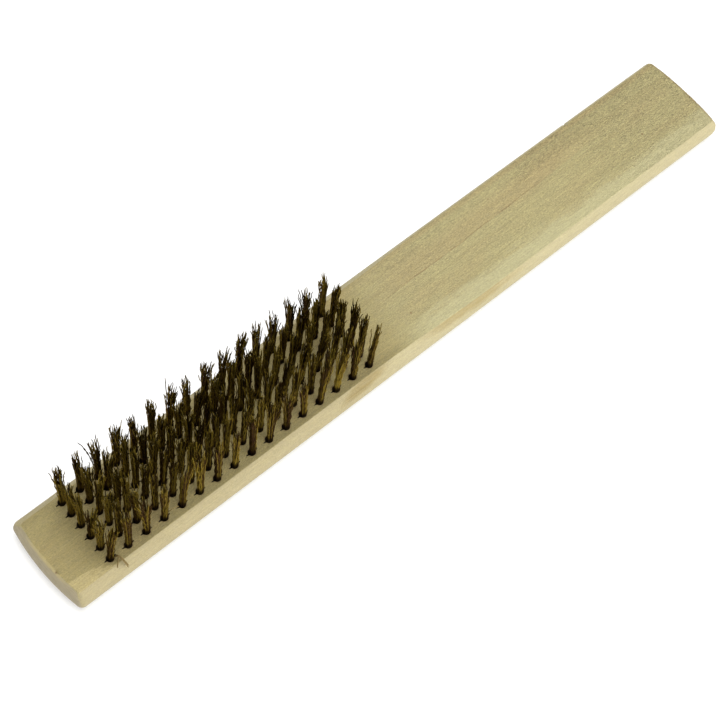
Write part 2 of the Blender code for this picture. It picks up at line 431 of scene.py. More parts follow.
# Noise values, and the strength that they give
BAND_RAMP = (0.42, 0.8, 0.0, 0.7)
BLOTCH_RAMP = (0.45, 0.75, 0.0, 0.45)
LINE_WANDER_RAMP = (0.2, 0.8, -0.5, 0.5)
LINE_BREAKS_RAMP = (0.36, 0.62, 0.22, 0.7)
STRIP_EDGE_RAMP = (0.3, 0.7, -1.3, 1.3)
# Painted shade along the bottoms of the creases
CREASE_SHADE_RAMP = (0.022, 0.0)
ROUGHNESS_RAMP = (0.2, 0.8, 0.55, 0.78)

# Planed strips along the near edge: where each one begins, and how soft its border is
FACET_STRIP = (-7.4, 4.4)
NOSE_BEVEL_STRIP = (0.5, 0.8)
NOSE_BEVEL_SLOPE = -0.27

# Dark grain line along the top: its offset at the middle, its rise, half width and softness
GRAIN_LINE_START = 2.6
GRAIN_LINE_RISE = 0.018
GRAIN_LINE_WIDTH = (0.05, 0.28)

# Tan streaks of the near side: middle along and up, half length, half height, slope, and strength
SIDE_STREAKS = ((-22.5, 7.5, 12.5, 2.1, 0.11, 1.0), (22.0, 8.2, 27.0, 2.6, 0.0, 0.8))
STREAK_WANDER_NOISE = ((0.1, 0.0, 0.0), 3.0, 0.6)
STREAK_WANDER_RAMP = (0.3, 0.7, -0.5, 0.5)
STREAK_FIBRE_NOISE = ((0.06, 1.1, 1.1), 3.0, 0.6)
STREAK_FIBRE_RAMP = (0.3, 0.6, 0.6, 1.0)
STREAK_RAMP = (1.0, 0.3)

# Specks: place along and across the top, and radius; the ramp is in radii
SPECKS = ((4.2, -5.7, 0.3), (106.4, -3.8, 0.32), (50.4, 9.4, 0.22), (-129.2, -4.7, 0.3))
SPECK_RAMP = (0.5, 1.6)
SPECK_SHARE = 0.85

# How much of a new colour a full mask brings in
SIDE_SHARE = 0.85
FACET_SHARE = 0.8
TAN_SHARE = 0.6
FAR_EDGE_SHARE = 0.6
GRIP_RIM_SHARE = 0.6
NOSE_BEVEL_SHARE = 0.6
RIM_SHARE = 0.8
HOLE_WALL_SHARE = 0.9
# Painted shade in the creases: an extra share where fibres are torn, and a share everywhere
CREASE_SHADE_SHARES = (0.16, 0.09)

# Light and dark that the noises give, and how much louder or calmer the fine ones are on some faces
FIBRE_SHADE = (0.9, 1.1)
FINE_SHADES = (("fine_fibres", 0.86, 1.14), ("mottle", 0.93, 1.07), ("grit", 0.73, 1.27))
SAW_SHADE = (0.78, 1.18)
LOUD_GRIP = 0.45
LOUD_SIDE = -0.45
LOUD_FACET = -0.7

# Bumps: strength, and height in metres
CREASE_SHARES = (0.75, 0.25)
CREASE_HEIGHT = 1.9 * MM
GRIT_BUMP = (0.5, 0.22 * MM)
FIBRE_BUMP = (0.35, 0.12 * MM)
SAW_BUMP = (0.6, 0.25 * MM)


class Wood(Shader):
    """Planed pale wood, painted feature by feature. Places are in millimetres."""

    def __init__(self, block):
        super().__init__("planed_pale_wood")
        self.block = block
        self.place = self.position()
        self.along, self.across, self.up = self.split(self.place)
        self.from_nose = self.math("ADD", self.along, block.half_length / MM)
        self.below_top = self.math("SUBTRACT", block.thickness / MM, self.up)
        self.noises = {name: self.noise(self.place, *kind) for name, kind in WOOD_NOISES.items()}

        facing = self.split(self.node("ShaderNodeNewGeometry").outputs["Normal"])
        self.end_face = self.span(self.math("ABSOLUTE", facing[0]), *END_FACING)
        self.long_face = self.math("SUBTRACT", 1.0, self.end_face)
        self.side_face = self.span(self.math("ABSOLUTE", facing[1]), *SIDE_FACING)
        self.near_side = self.span(self.math("MULTIPLY", facing[1], -1.0), *NEAR_FACING)
        self.top_face = self.span(facing[2], *TOP_FACING)
        self.grip_top = self.times(self.top_face, self.span(self.along, *GRIP_ALONG))
        self.facet = self.times(self.ragged_strip(self.across, *FACET_STRIP), self.grip_top)
        self.near_top = self.span(self.below_top, *UPPER_BELOW_TOP)

        self.loud = 1.0
        for mask, change in ((self.grip_top, LOUD_GRIP), (self.side_face, LOUD_SIDE),
                             (self.facet, LOUD_FACET)):
            self.loud = self.math("MULTIPLY_ADD", mask, change, self.loud)
        self.color = WOOD_PALE

    def paint(self, color, *masks, blend="MIX"):
        self.color = self.mix(self.times(*masks), self.color, color, blend)

    def tint(self, color, *masks):
        self.paint(color, *masks, blend="MULTIPLY")

    def ragged_strip(self, across, edge, soft):
        """Mask of what lies to the -Y side of edge, with an uneven border."""
        wobble = self.span(self.noises["strip_edge"], *STRIP_EDGE_RAMP)
        return self.span(self.math("ADD", across, wobble), edge, edge - soft)

    def flat_length(self, x, y):
        flat = self.node("ShaderNodeCombineXYZ", {0: x, 1: y, 2: 0.0}).outputs[0]
        return self.node("ShaderNodeVectorMath", {0: flat}, operation="LENGTH").outputs["Value"]

    def paint_boards(self):
        """The wood's broad bands and blotches, its paler sides with painted bounce light whitening their
        lower part, and the planed facet of the grip, painted lighter as a highlight of the near lamp.
        """
        self.paint(WOOD_BAND, self.span(self.noises["bands"], *BAND_RAMP))
        self.paint(WOOD_TAN, self.span(self.noises["blotch"], *BLOTCH_RAMP))
        low_side = [self.block.thickness / MM * share for share in LOW_SIDE_SHARES]
        # Painted light: the lower side is coloured whiter, standing in for bounce light from the floor
        side_color = self.mix(self.span(self.up, *low_side), WOOD_SIDE, WOOD_SIDE_BOUNCE_LIGHT)
        self.paint(side_color, self.side_face, SIDE_SHARE)
        # Painted highlight: the grip's planed facet is coloured lighter, as the light it catches from the
        # near lamp
        self.paint(WOOD_FACET_HIGHLIGHT, self.facet, FACET_SHARE)

    def paint_grip(self):
        """The dark grain line, the tan wood on its far side, and the darker far edge and end."""
        rise = self.math("MULTIPLY_ADD", self.along, GRAIN_LINE_RISE, GRAIN_LINE_START)
        line_place = self.math("ADD", rise, self.span(self.noises["line_wander"], *LINE_WANDER_RAMP))
        past_line = self.math("SUBTRACT", self.across, line_place)
        self.paint(WOOD_TAN, self.span(past_line, *TAN_PAST_LINE),
                   self.span(past_line, *TAN_FADE_PAST_LINE), self.span(self.along, *TAN_ALONG),
                   self.grip_top, TAN_SHARE)
        self.paint(WOOD_TAN, self.span(self.across, *FAR_EDGE_ACROSS), self.grip_top, FAR_EDGE_SHARE)

        bulge = GRIP_END_BULGE / self.block.half_width ** 2 * MM
        past_middle = self.math("MULTIPLY_ADD", self.times(self.across, self.across), bulge, self.along)
        past_end = self.math("SUBTRACT", past_middle, self.block.half_length / MM)
        self.paint(WOOD_LINE, self.span(past_end, *GRIP_RIM_PAST_END), self.top_face, GRIP_RIM_SHARE)

        self.paint(WOOD_LINE, self.window(past_line, 0.0, *GRAIN_LINE_WIDTH), self.grip_top,
                   self.span(self.noises["line_breaks"], *LINE_BREAKS_RAMP),
                   self.span(self.along, *GRAIN_LINE_ALONG))

    def paint_side_streaks(self):
        for middle, height, half_length, half_height, slope, strength in SIDE_STREAKS:
            beside = self.math("SUBTRACT", self.along, middle)
            wander = self.span(self.noise(self.place, *STREAK_WANDER_NOISE, middle), *STREAK_WANDER_RAMP)
            core = self.math("ADD", self.math("MULTIPLY_ADD", beside, slope, height), wander)
            above_core = self.math("SUBTRACT", self.up, core)
            away = self.flat_length(self.math("DIVIDE", beside, half_length),
                                    self.math("DIVIDE", above_core, half_height))
            fibre = self.span(self.noise(self.place, *STREAK_FIBRE_NOISE, middle), *STREAK_FIBRE_RAMP)
            self.paint(WOOD_STREAK, self.near_side, self.span(away, *STREAK_RAMP), fibre, strength)

    def paint_field(self):
        """The wood round the bristles, tinted yellower and painted darker as shade of the tufts, painted
        shade of the tufts on its near margin, and a painted highlight on the bevel at the near corner.
        """
        # A yellower tint of the top round the bristles that also paints in the tufts' shade
        self.tint(FIELD_TINT_AND_SHADE, self.span(self.along, *FIELD_ALONG), self.top_face)
        # The sides beside the bristles get a slightly yellower tint and painted shade
        self.tint(FIELD_SIDE_TINT_AND_SHADE, self.span(self.along, *FIELD_SIDE_ALONG), self.side_face)
        # Painted shade: the near strip in front of the bristles is darkened as if shaded by the tufts
        self.tint(FIELD_STRIP_SHADE, self.span(self.across, *FIELD_STRIP_ACROSS),
                  self.span(self.along, *FIELD_STRIP_ALONG), self.top_face,
                  self.span(self.from_nose, *FIELD_STRIP_FROM_NOSE))
        # Painted highlight: the bevel at the near corner is coloured paler, as the light it faces
        bevel_line = self.math("MULTIPLY_ADD", self.from_nose, NOSE_BEVEL_SLOPE, -NOSE_BEVEL_LINE / MM)
        past_bevel = self.math("SUBTRACT", self.across, bevel_line)
        self.paint(WOOD_WEAR_AND_HIGHLIGHT, self.ragged_strip(past_bevel, *NOSE_BEVEL_STRIP), self.top_face,
                   self.span(self.from_nose, *NOSE_BEVEL_FROM_NOSE), NOSE_BEVEL_SHARE)

    def paint_fibres(self):
        """Painted shade along the bottoms of the creases, torn fibres, and the fine light and dark of the
        long faces.
        """
        torn_strip = self.times(self.span(self.along, *TORN_STRIP_ALONG),
                                self.span(self.across, *TORN_STRIP_ACROSS))
        torn = self.math("MAXIMUM", self.span(self.along, *TORN_END_ALONG), torn_strip)
        self.torn = self.times(torn, self.top_face)
        self.crease = self.math("ABSOLUTE", self.math("SUBTRACT", self.noises["squiggle"], 0.5))
        # Painted shade: dark lines along the bottoms of the bumped creases, stronger where the fibres are
        # torn
        crease_shade_share = self.math("MULTIPLY_ADD", self.torn, *CREASE_SHADE_SHARES)
        self.paint(WOOD_LINE, self.span(self.crease, *CREASE_SHADE_RAMP), crease_shade_share)
        self.tint(WOOD_TORN, self.torn)
        self.color = self.shade(self.color, self.noises["fibres"], *FIBRE_SHADE)
        for name, dark, light in FINE_SHADES:
            deviation = self.math("SUBTRACT", self.noises[name], 0.5)
            calmed = self.math("MULTIPLY_ADD", deviation, self.loud, 0.5)
            self.color = self.shade(self.color, calmed, dark, light)

    def paint_ends(self):
        """Sawn end grain, and the pale rim of the bristle end: partly wear, partly a painted highlight of
        its rounded edge.
        """
        self.paint(self.shade(WOOD_END, self.noises["saw"], *SAW_SHADE), self.end_face)
        # Wear and a painted highlight: the rounded top edge of the bristle end is coloured paler
        self.paint(WOOD_WEAR_AND_HIGHLIGHT, self.span(self.below_top, *RIM_BELOW_TOP),
                   self.span(self.from_nose, *RIM_FROM_NOSE), RIM_SHARE)

    def paint_specks(self):
        for x, y, radius in SPECKS:
            away = self.flat_length(self.math("SUBTRACT", self.along, x),
                                    self.math("SUBTRACT", self.across, y))
            edges = [radius * share for share in SPECK_RAMP]
            self.paint(WOOD_LINE, self.span(away, *edges, SPECK_SHARE, 0.0), self.near_top)

    def paint_holes(self, field):
        """Dark rims of the holes that field describes, and painted shade down their walls."""
        distance, in_field = self.hole_distance(field)
        self.paint(WOOD_LINE, self.span(distance, *HOLE_RIM), in_field, self.near_top)
        # Painted shade: the hole walls are darkened almost to black below the top face
        self.paint(WOOD_HOLE_SHADE, self.span(distance, *HOLE_WALL), in_field,
                   self.span(self.below_top, *HOLE_WALL_BELOW_TOP),
                   self.span(self.up, *HOLE_SHADE_UP), HOLE_WALL_SHARE)

    def hole_distance(self, field):
        """Distance from the nearest hole's centre, and a mask of the field that has holes."""
        offset = []
        masks = []
        margin, soft = FIELD_MARGIN
        for place, (first, last, pitch) in zip((self.along, self.across), field):
            past_first = self.math("SUBTRACT", place, first)
            offset.append(self.math("WRAP", past_first, pitch / 2, -pitch / 2))
            masks.append(self.window(place, (first + last) / 2, (last - first) / 2 + margin, soft))
        return self.flat_length(*offset), self.times(*masks)

    def surface_normal(self):
        """The bumps of creases, grit, fibres and saw marks, one on top of the other."""
        tear = self.math("MULTIPLY_ADD", self.torn, *CREASE_SHARES)
        normal = self.bump(self.crease, self.times(tear, self.long_face), CREASE_HEIGHT)
        for name, face, (strength, height) in (("grit", self.times(self.long_face, self.loud), GRIT_BUMP),
                                               ("fibres", self.long_face, FIBRE_BUMP),
                                               ("saw", self.end_face, SAW_BUMP)):
            normal = self.bump(self.noises[name], self.times(face, strength), height, normal)
        return normal


def wood_material(block, field):
    wood = Wood(block)
    for paint in (wood.paint_boards, wood.paint_grip, wood.paint_side_streaks, wood.paint_field,
                  wood.paint_fibres, wood.paint_ends, wood.paint_specks):
        paint()
    wood.paint_holes(field)
    roughness = wood.span(wood.noises["mottle"], *ROUGHNESS_RAMP)
    return wood.finish(wood.color, roughness, wood.surface_normal())


# Wire: patches and scratches, how tone and patches add up to wear, and where along a leg painted shade
# darkens its foot.
# A loose wire's tone lies past the bright ramp.
WIRE_PATCHES = ((0.55, 0.55, 0.35), 3.0, 0.6)
WIRE_SCRATCHES = ((6.0, 6.0, 1.2), 2.0, 0.6, 9.0)
WEAR_FROM_TONE = 0.6
WEAR_FROM_PATCHES = 0.5
WIRE_WORN_RAMP = (0.36, 0.86)
SCRATCH_SHADE = (0.62, 1.38)
FOOT_SHADE_RAMP = (0.16, 0.05, 0.0, 0.94)
BRIGHT_RAMP = (1.2, 1.6)
WIRE_ROUGHNESS_RAMP = (0.25, 0.75, 0.36, 0.62)
WIRE_METALLIC = 0.75
WIRE_SPECULAR = 0.15

ANCHOR_SPANGLE = ((1.5, 1.5, 1.5), 2.0, 0.5)
ANCHOR_METALLIC = 0.9
ANCHOR_ROUGHNESS_RAMP = (0.2, 0.8, 0.35, 0.6)
FLOOR_HAZE = ((0.01, 0.01, 0.01), 2.0, 0.5)
FLOOR_ROUGHNESS = 0.9


def wire_material():
    """Brass-plated steel wire, unevenly tarnished; each wire has its own tone, stored on its points."""
    shader = Shader("tarnished_brass_wire")
    place = shader.position()
    tone = shader.node("ShaderNodeAttribute", attribute_name="wire_tone").outputs["Fac"]
    height = shader.node("ShaderNodeAttribute", attribute_name="wire_height").outputs["Fac"]
    patches = shader.noise(place, *WIRE_PATCHES)
    scratches = shader.noise(place, *WIRE_SCRATCHES)
    worn_patches = shader.math("MULTIPLY", patches, WEAR_FROM_PATCHES)
    worn = shader.math("MULTIPLY_ADD", tone, WEAR_FROM_TONE, worn_patches)
    color = shader.mix(shader.span(worn, *WIRE_WORN_RAMP), WIRE_TARNISH, WIRE_BRASS)
    color = shader.shade(color, scratches, *SCRATCH_SHADE)
    # Painted shade: each leg is darkened near the mouth of its hole, where the tuft's foot lies in shade
    color = shader.mix(shader.span(height, *FOOT_SHADE_RAMP), color, WIRE_FOOT_SHADE)
    color = shader.mix(shader.span(tone, *BRIGHT_RAMP), color, WIRE_BRIGHT)
    shader.surface.inputs["Metallic"].default_value = WIRE_METALLIC
    shader.surface.inputs["Specular IOR Level"].default_value = WIRE_SPECULAR
    shader.surface.inputs["Specular Tint"].default_value = WIRE_EDGE_TINT
    return shader.finish(color, shader.span(patches, *WIRE_ROUGHNESS_RAMP))


def anchor_material():
    shader = Shader("galvanised_anchor_steel")
    spangle = shader.noise(shader.position(), *ANCHOR_SPANGLE)
    color = shader.mix(spangle, ANCHOR_DARK, ANCHOR_LIGHT)
    shader.surface.inputs["Metallic"].default_value = ANCHOR_METALLIC
    return shader.finish(color, shader.span(spangle, *ANCHOR_ROUGHNESS_RAMP))


def floor_material():
    shader = Shader("pale_studio_floor")
    color = shader.mix(shader.noise(shader.position(), *FLOOR_HAZE), FLOOR_DARK, FLOOR_LIGHT)
    shader.surface.inputs["Emission Color"].default_value = WHITE
    shader.surface.inputs["Emission Strength"].default_value = FLOOR_GLOW
    return shader.finish(color, FLOOR_ROUGHNESS)


# ---- meshes

def new_object(name, data):
    made = bpy.data.objects.new(name, data)
    bpy.context.scene.collection.objects.link(made)
    return made


def mesh_object(name, points, faces, material, smooth_angle):
    mesh = bpy.data.meshes.new(name)
    mesh.from_pydata(points, [], faces)
    mesh.materials.append(material)
    mesh.shade_smooth()
    mesh.set_sharp_from_angle(angle=math.radians(smooth_angle))
    return new_object(name, mesh)


def clamp01(value):
    return min(1.0, max(0.0, value))


def ramp(value, empty, full):
    """From 0 at empty to 1 at full, straight in between."""
    return clamp01((value - empty) / (full - empty))


# ---- wooden block

def arc(center_x, center_y, radius, start):
    """Points of half a corner, 45 degrees counter-clockwise from start."""
    turns = [math.radians(start + 45 * k / CORNER_STEPS) for k in range(CORNER_STEPS + 1)]
    return [(center_x + radius * math.cos(turn), center_y + radius * math.sin(turn)) for turn in turns]


class Block:
    """The block's sizes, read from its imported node."""

    def __init__(self):
        low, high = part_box("handle_block")
        self.half_length = (high[0] - low[0]) / 2
        self.half_width = (high[1] - low[1]) / 2
        self.thickness = high[2]

    def side_points(self, inset, sign, is_end):
        """Fine points along one side of the outline, from the middle of one corner arc to the next."""
        radius = CORNER_RADIUS - CORNER_SHRINK * inset
        crown = self.half_length - inset
        reach_y = self.half_width - inset - radius
        steps = range(1, SIDE_STEPS)
        if is_end:
            bulge = GRIP_END_BULGE if sign > 0 else BRISTLE_END_BULGE
            center_x = crown - bulge - radius
            shares = [-1 + 2 * k / SIDE_STEPS for k in steps]
            middle = [(crown - bulge * share ** 2, reach_y * share) for share in shares]
            points = arc(center_x, -reach_y, radius, -45) + middle + arc(center_x, reach_y, radius, 0)
            return sign * np.array(points)
        grip_x = crown - GRIP_END_BULGE - radius
        nose_x = BRISTLE_END_BULGE + radius - crown
        middle = [(nose_x + (grip_x - nose_x) * k / SIDE_STEPS, -reach_y - radius) for k in steps]
        points = arc(nose_x, -reach_y, radius, -135) + middle + arc(grip_x, -reach_y, radius, -90)
        if sign > 0:
            points = [(x, -y) for x, y in reversed(points)]
        return np.array(points)

    def outline(self, inset):
        """The four sides of the outline, each cut into equal steps, counter-clockwise."""
        sides = []
        for is_end, sign, cells in ((False, -1, CELLS_LONG), (True, 1, CELLS_ACROSS),
                                    (False, 1, CELLS_LONG), (True, -1, CELLS_ACROSS)):
            line = self.side_points(inset, sign, is_end)
            steps = np.hypot(*np.diff(line, axis=0).T)
            length = np.concatenate(([0.0], np.cumsum(steps)))
            wanted = np.linspace(0.0, length[-1], cells + 1)
            sides.append(np.stack([np.interp(wanted, length, line[:, i]) for i in (0, 1)], axis=1))
        return sides

    def patch(self, inset):
        """A grid of points that fills the outline, by blending its four sides."""
        south, east, north, west = self.outline(inset)
        north = north[::-1]
        west = west[::-1]
        u = np.linspace(0.0, 1.0, CELLS_LONG + 1)[:, None, None]
        v = np.linspace(0.0, 1.0, CELLS_ACROSS + 1)[None, :, None]
        across = (1 - v) * south[:, None] + v * north[:, None]
        along = (1 - u) * west[None] + u * east[None]
        corners = ((1 - u) * (1 - v) * south[0] + u * (1 - v) * south[-1]
                   + (1 - u) * v * north[0] + u * v * north[-1])
        return across + along - corners

    def bevel_drop(self, x, y):
        """How far the top is planed away at a point."""
        edge = self.half_width - EDGE_INSET
        across = ramp(abs(y), GRIP_BEVEL_LINE, edge)
        along = ramp(x, GRIP_BEVEL_START, GRIP_BEVEL_FULL)
        nose_along = (x + self.half_length) / NOSE_BEVEL_LENGTH
        line = NOSE_BEVEL_LINE + (edge - NOSE_BEVEL_LINE) * nose_along
        nose = clamp01((abs(y) - line) / (edge - NOSE_BEVEL_LINE))
        return GRIP_BEVEL_DROP * across * along + NOSE_BEVEL_DROP * nose

    def shaped(self, x, y, height):
        """A point of the smooth outside once it is bevelled, uneven, rounded further and worn."""
        rise = max(0.0, 2 * height / self.thickness - 1)
        relief = surface_relief(x, y) * ramp(height, self.thickness - RIM_ROUNDING, self.thickness)
        z = height - self.bevel_drop(x, y) * rise ** 2 + relief
        along = ramp(x, EXTRA_INSET_START, EXTRA_INSET_FULL)
        share = along * along * (3 - 2 * along)
        y *= 1 - EXTRA_INSET * share * rise ** 2 / self.half_width
        if y > self.half_width / 2:
            y -= NICK_DEPTH * clamp01(1 - abs(x - NICK_PLACE) / NICK_WIDTH)
        worn_from = self.half_length - END_WEAR_REACH
        if abs(x) > worn_from:
            across = y / MM * END_WEAR_SCALE[0]
            up = height / MM * END_WEAR_SCALE[1]
            ragged = abs(noise.noise(Vector((across, 40.0 + up, math.copysign(9.0, x)))))
            share = clamp01((abs(x) - worn_from) / END_WEAR_REACH)
            x -= math.copysign(END_WEAR_DEPTH * ragged * share * rise, x)
        return x, y, z

    def side_profile(self):
        """(inset, height) of each ring from the top face's edge down to the back face's edge."""
        top = self.thickness
        rim = [(EDGE_INSET + RIM_ROUNDING * inset, drop * RIM_ROUNDING) for inset, drop in RIM_STEPS]
        for inset, drop in rim:
            yield inset, top - drop
        for level in SIDE_LEVELS:
            yield EDGE_INSET * level ** 2, top / 2 * (1 + level)
        for inset, drop in reversed(rim):
            yield inset, drop


def surface_relief(x, y):
    """Unevenness that planing leaves on the top: slow waves, and fibres torn up towards the grip's end."""
    place = Vector((x / MM, y / MM, 0.0))
    waves = noise.noise(Vector((place.x * WAVE_SCALE[0], place.y * WAVE_SCALE[1], 3.0))) * WAVE_HEIGHT
    far_strip = ramp(place.x, *TEAR_STRIP_ALONG) * ramp(place.y, *TEAR_STRIP_ACROSS)
    torn = max(far_strip, ramp(place.x, *TEAR_END_ALONG) * TEAR_END_SHARE, TEAR_LEAST)
    ridge = noise.noise(Vector((place.x * TEAR_SCALE[0], place.y * TEAR_SCALE[1], 8.0)))
    tear = (abs(ridge) ** TEAR_POWER - TEAR_LEVEL) * TEAR_HEIGHT * torn
    dents = 0.0
    for dent_x, dent_y, radius, depth in DENTS:
        away = math.hypot(place.x - dent_x, place.y - dent_y) / radius
        dents += depth * max(0.0, 1 - away * away)
    return (waves + tear - dents) * MM


def make_block_mesh(block, material):
    grid = block.patch(EDGE_INSET + RIM_ROUNDING).reshape(-1, 2)
    across = CELLS_ACROSS + 1
    size = len(grid)
    points = [block.shaped(x, y, height) for height in (block.thickness, 0.0) for x, y in grid]
    faces = []
    for i in range(CELLS_LONG):
        for j in range(CELLS_ACROSS):
            a = i * across + j
            quad = (a, a + across, a + across + 1, a + 1)
            faces.append(quad)
            faces.append(tuple(size + k for k in reversed(quad)))
    south = [i * across for i in range(CELLS_LONG)]
    east = [CELLS_LONG * across + j for j in range(CELLS_ACROSS)]
    north = [i * across + CELLS_ACROSS for i in range(CELLS_LONG, 0, -1)]
    west = list(range(CELLS_ACROSS, 0, -1))
    loop = south + east + north + west
    rings = [loop]
    for inset, height in block.side_profile():
        start = len(points)
        ring = np.concatenate([side[:-1] for side in block.outline(inset)])
        points += [block.shaped(x, y, height) for x, y in ring]
        rings.append(list(range(start, len(points))))
    rings.append([size + k for k in loop])
    count = len(loop)
    for upper, lower in zip(rings, rings[1:]):
        for k in range(count):
            j = (k + 1) % count
            faces.append((upper[k], lower[k], lower[j], upper[j]))
    return mesh_object("brush_block", points, faces, material, SHARP_ANGLE)


def make_prisms(name, outline, tufts, low, high, material):
    """One object of upright prisms, one at every tuft."""
    count = len(outline)
    points, faces = [], []
    for tuft in tufts:
        base = len(points)
        points += [(tuft.x + x, tuft.y + y, z) for z in (low, high) for x, y in outline]
        faces.append(tuple(base + k for k in reversed(range(count))))
        faces.append(tuple(base + count + k for k in range(count)))
        for k in range(count):
            j = (k + 1) % count
            faces.append((base + k, base + j, base + count + j, base + count + k))
    return mesh_object(name, points, faces, material, CRISP_ANGLE)


def rectangle(half_x, half_y):
    return [(-half_x, -half_y), (half_x, -half_y), (half_x, half_y), (-half_x, half_y)]


def hole_outline():
    """A round hole whose two ends along the block run out into the anchor's slot."""
    half_slot = SLOT_WIDTH / 2
    start = math.asin(half_slot / HOLE_RADIUS)
    points = []
    for k in range(HOLE_SIDES // 2):
        angle = start + (math.pi - 2 * start) * k / (HOLE_SIDES // 2 - 1)
        points.append((HOLE_RADIUS * math.cos(angle), HOLE_RADIUS * math.sin(angle)))
    points += [(-SLOT_LENGTH / 2, side * half_slot * SLOT_TIP_SHARE) for side in (1, -1)]
    return points + [(-x, -y) for x, y in points]


def cut_holes(block_object, tufts, top, material):
    cutter = make_prisms("hole_cutter", hole_outline(), tufts, top - HOLE_DEPTH, top + CUTTER_RISE, material)
    drill = block_object.modifiers.new("tuft_holes", "BOOLEAN")
    drill.operation = "DIFFERENCE"
    drill.solver = "EXACT"
    drill.object = cutter
    graph = bpy.context.evaluated_depsgraph_get()
    mesh = bpy.data.meshes.new_from_object(block_object.evaluated_get(graph))
    block_object.modifiers.clear()
    block_object.data = mesh
    bpy.data.objects.remove(cutter, do_unlink=True)
    mesh.set_sharp_from_angle(angle=math.radians(SHARP_ANGLE))


# ---- tufts

class Tuft:
    """One bundle's place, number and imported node, and how it stands."""

    def __init__(self, column, row, x, y, node):
        self.column = column
        self.row = row
        self.x = x
        self.y = y
        self.node = node
        self.name = f"tuft_col{column:02d}_row{row}"
        self.random = random.Random(1000 * column + row)
        draw = self.random
        taller = max(HEIGHT_RANGE[0], min(HEIGHT_RANGE[1], draw.gauss(0.0, HEIGHT_SWING)))
        self.height = TUFT_HEIGHT + taller * MM
        self.lean = Vector((draw.gauss(*LEAN_ALONG), draw.gauss(*LEAN_ACROSS))) * MM
        self.spread = draw.uniform(*SPREAD_RANGE) * MM
        self.tone = draw.uniform(*TONE_RANGE)
        self.stray_share = draw.uniform(*STRAY_SHARE_RANGE)
        self.stray_reach = STRAY_REACH
        self.shorter_by = SHORTER_BY
        self.clumps = []
        first_turn = draw.uniform(0, math.pi)
        for k in range(draw.choice(CLUMP_COUNTS)):
            turn = first_turn + CLUMP_TURN * k + draw.uniform(*CLUMP_TURN_RANGE)
            way = Vector((math.cos(turn), math.sin(turn)))
            self.clumps.append((way, draw.uniform(*CLUMP_REACH_RANGE) * MM))
        self.stand_out()

    def stand_out(self):
        """What sets the tufts of some columns and rows apart."""
        if self.column == 1:
            self.height -= FIRST_COLUMN_SHORTER
            self.lean.x += FIRST_COLUMN_LEAN
            self.spread *= FIRST_COLUMN_SPREAD
        if self.row in (1, ROWS):
            self.spread *= EDGE_ROW_SPREAD
            self.stray_share += EDGE_ROW_STRAYS
        # Painted light: these tufts are toned brighter, as if lit from the left
        if self.column <= PAINTED_LIGHT_COLUMNS and self.row >= PAINTED_LIGHT_FROM_ROW:
            self.tone += PAINTED_LIGHT_TONE
        if self.row == 1 and self.column in FAN_STRAY_REACH:
            self.height += FAN_TALLER
            self.lean = Vector(FAN_LEAN) * MM
            self.spread = FAN_SPREAD
            self.stray_share = FAN_STRAY_SHARE
            self.stray_reach = FAN_STRAY_REACH[self.column]
        if (self.column, self.row) == (1, ROWS):
            self.height = NEAR_CORNER_HEIGHT
            self.lean = Vector(NEAR_CORNER_LEAN) * MM
        if (self.column, self.row) == (COLUMNS, ROWS):
            self.height = POINTED_HEIGHT
            self.lean = Vector(POINTED_LEAN) * MM
            self.spread = POINTED_SPREAD
            self.clumps = [(Vector((1.0, 0.0)), POINTED_CLUMP_REACH)]
            self.shorter_by = POINTED_SHORTER_BY
            self.tone = POINTED_TONE


def read_tufts():
    """Every tuft's place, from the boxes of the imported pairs."""
    names = sorted(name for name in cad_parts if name.startswith("tuft_pair_col"))
    centers = {}
    for name in names:
        low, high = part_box(name)
        centers[name] = ((low[0] + high[0]) / 2, (low[1] + high[1]) / 2)
    ys = sorted({round(y, 6) for _x, y in centers.values()})
    row_pitch = (ys[1] - ys[0]) / 2
    tufts = []
    for name in names:
        column = int(name[len("tuft_pair_col"):][:2])
        x, y = centers[name]
        for place, row in enumerate(name[-2:]):
            tufts.append(Tuft(column, int(row), x, y + row_pitch * (0.5 - place), name))
    return tufts, row_pitch


def hole_field(tufts, row_pitch):
    """The bristle field's first and last holes and pitch, along and across, in millimetres."""
    xs = sorted({round(tuft.x / MM, 3) for tuft in tufts})
    ys = sorted({round(tuft.y / MM, 3) for tuft in tufts})
    return (xs[0], xs[-1], xs[1] - xs[0]), (ys[0], ys[-1], row_pitch / MM)


def fold_places():
    """Where each wire is folded: along the anchor, and how far its legs are from the anchor's middle."""
    for distance, count in FOLD_ROWS:
        for k in range(count):
            yield (k - (count - 1) / 2) * FOLD_PITCH, distance * MM


def swing(draw, deviation):
    """A small random move along and across the block; the deviation is in millimetres."""
    return Vector((draw.gauss(0, deviation), draw.gauss(0, deviation))) * MM


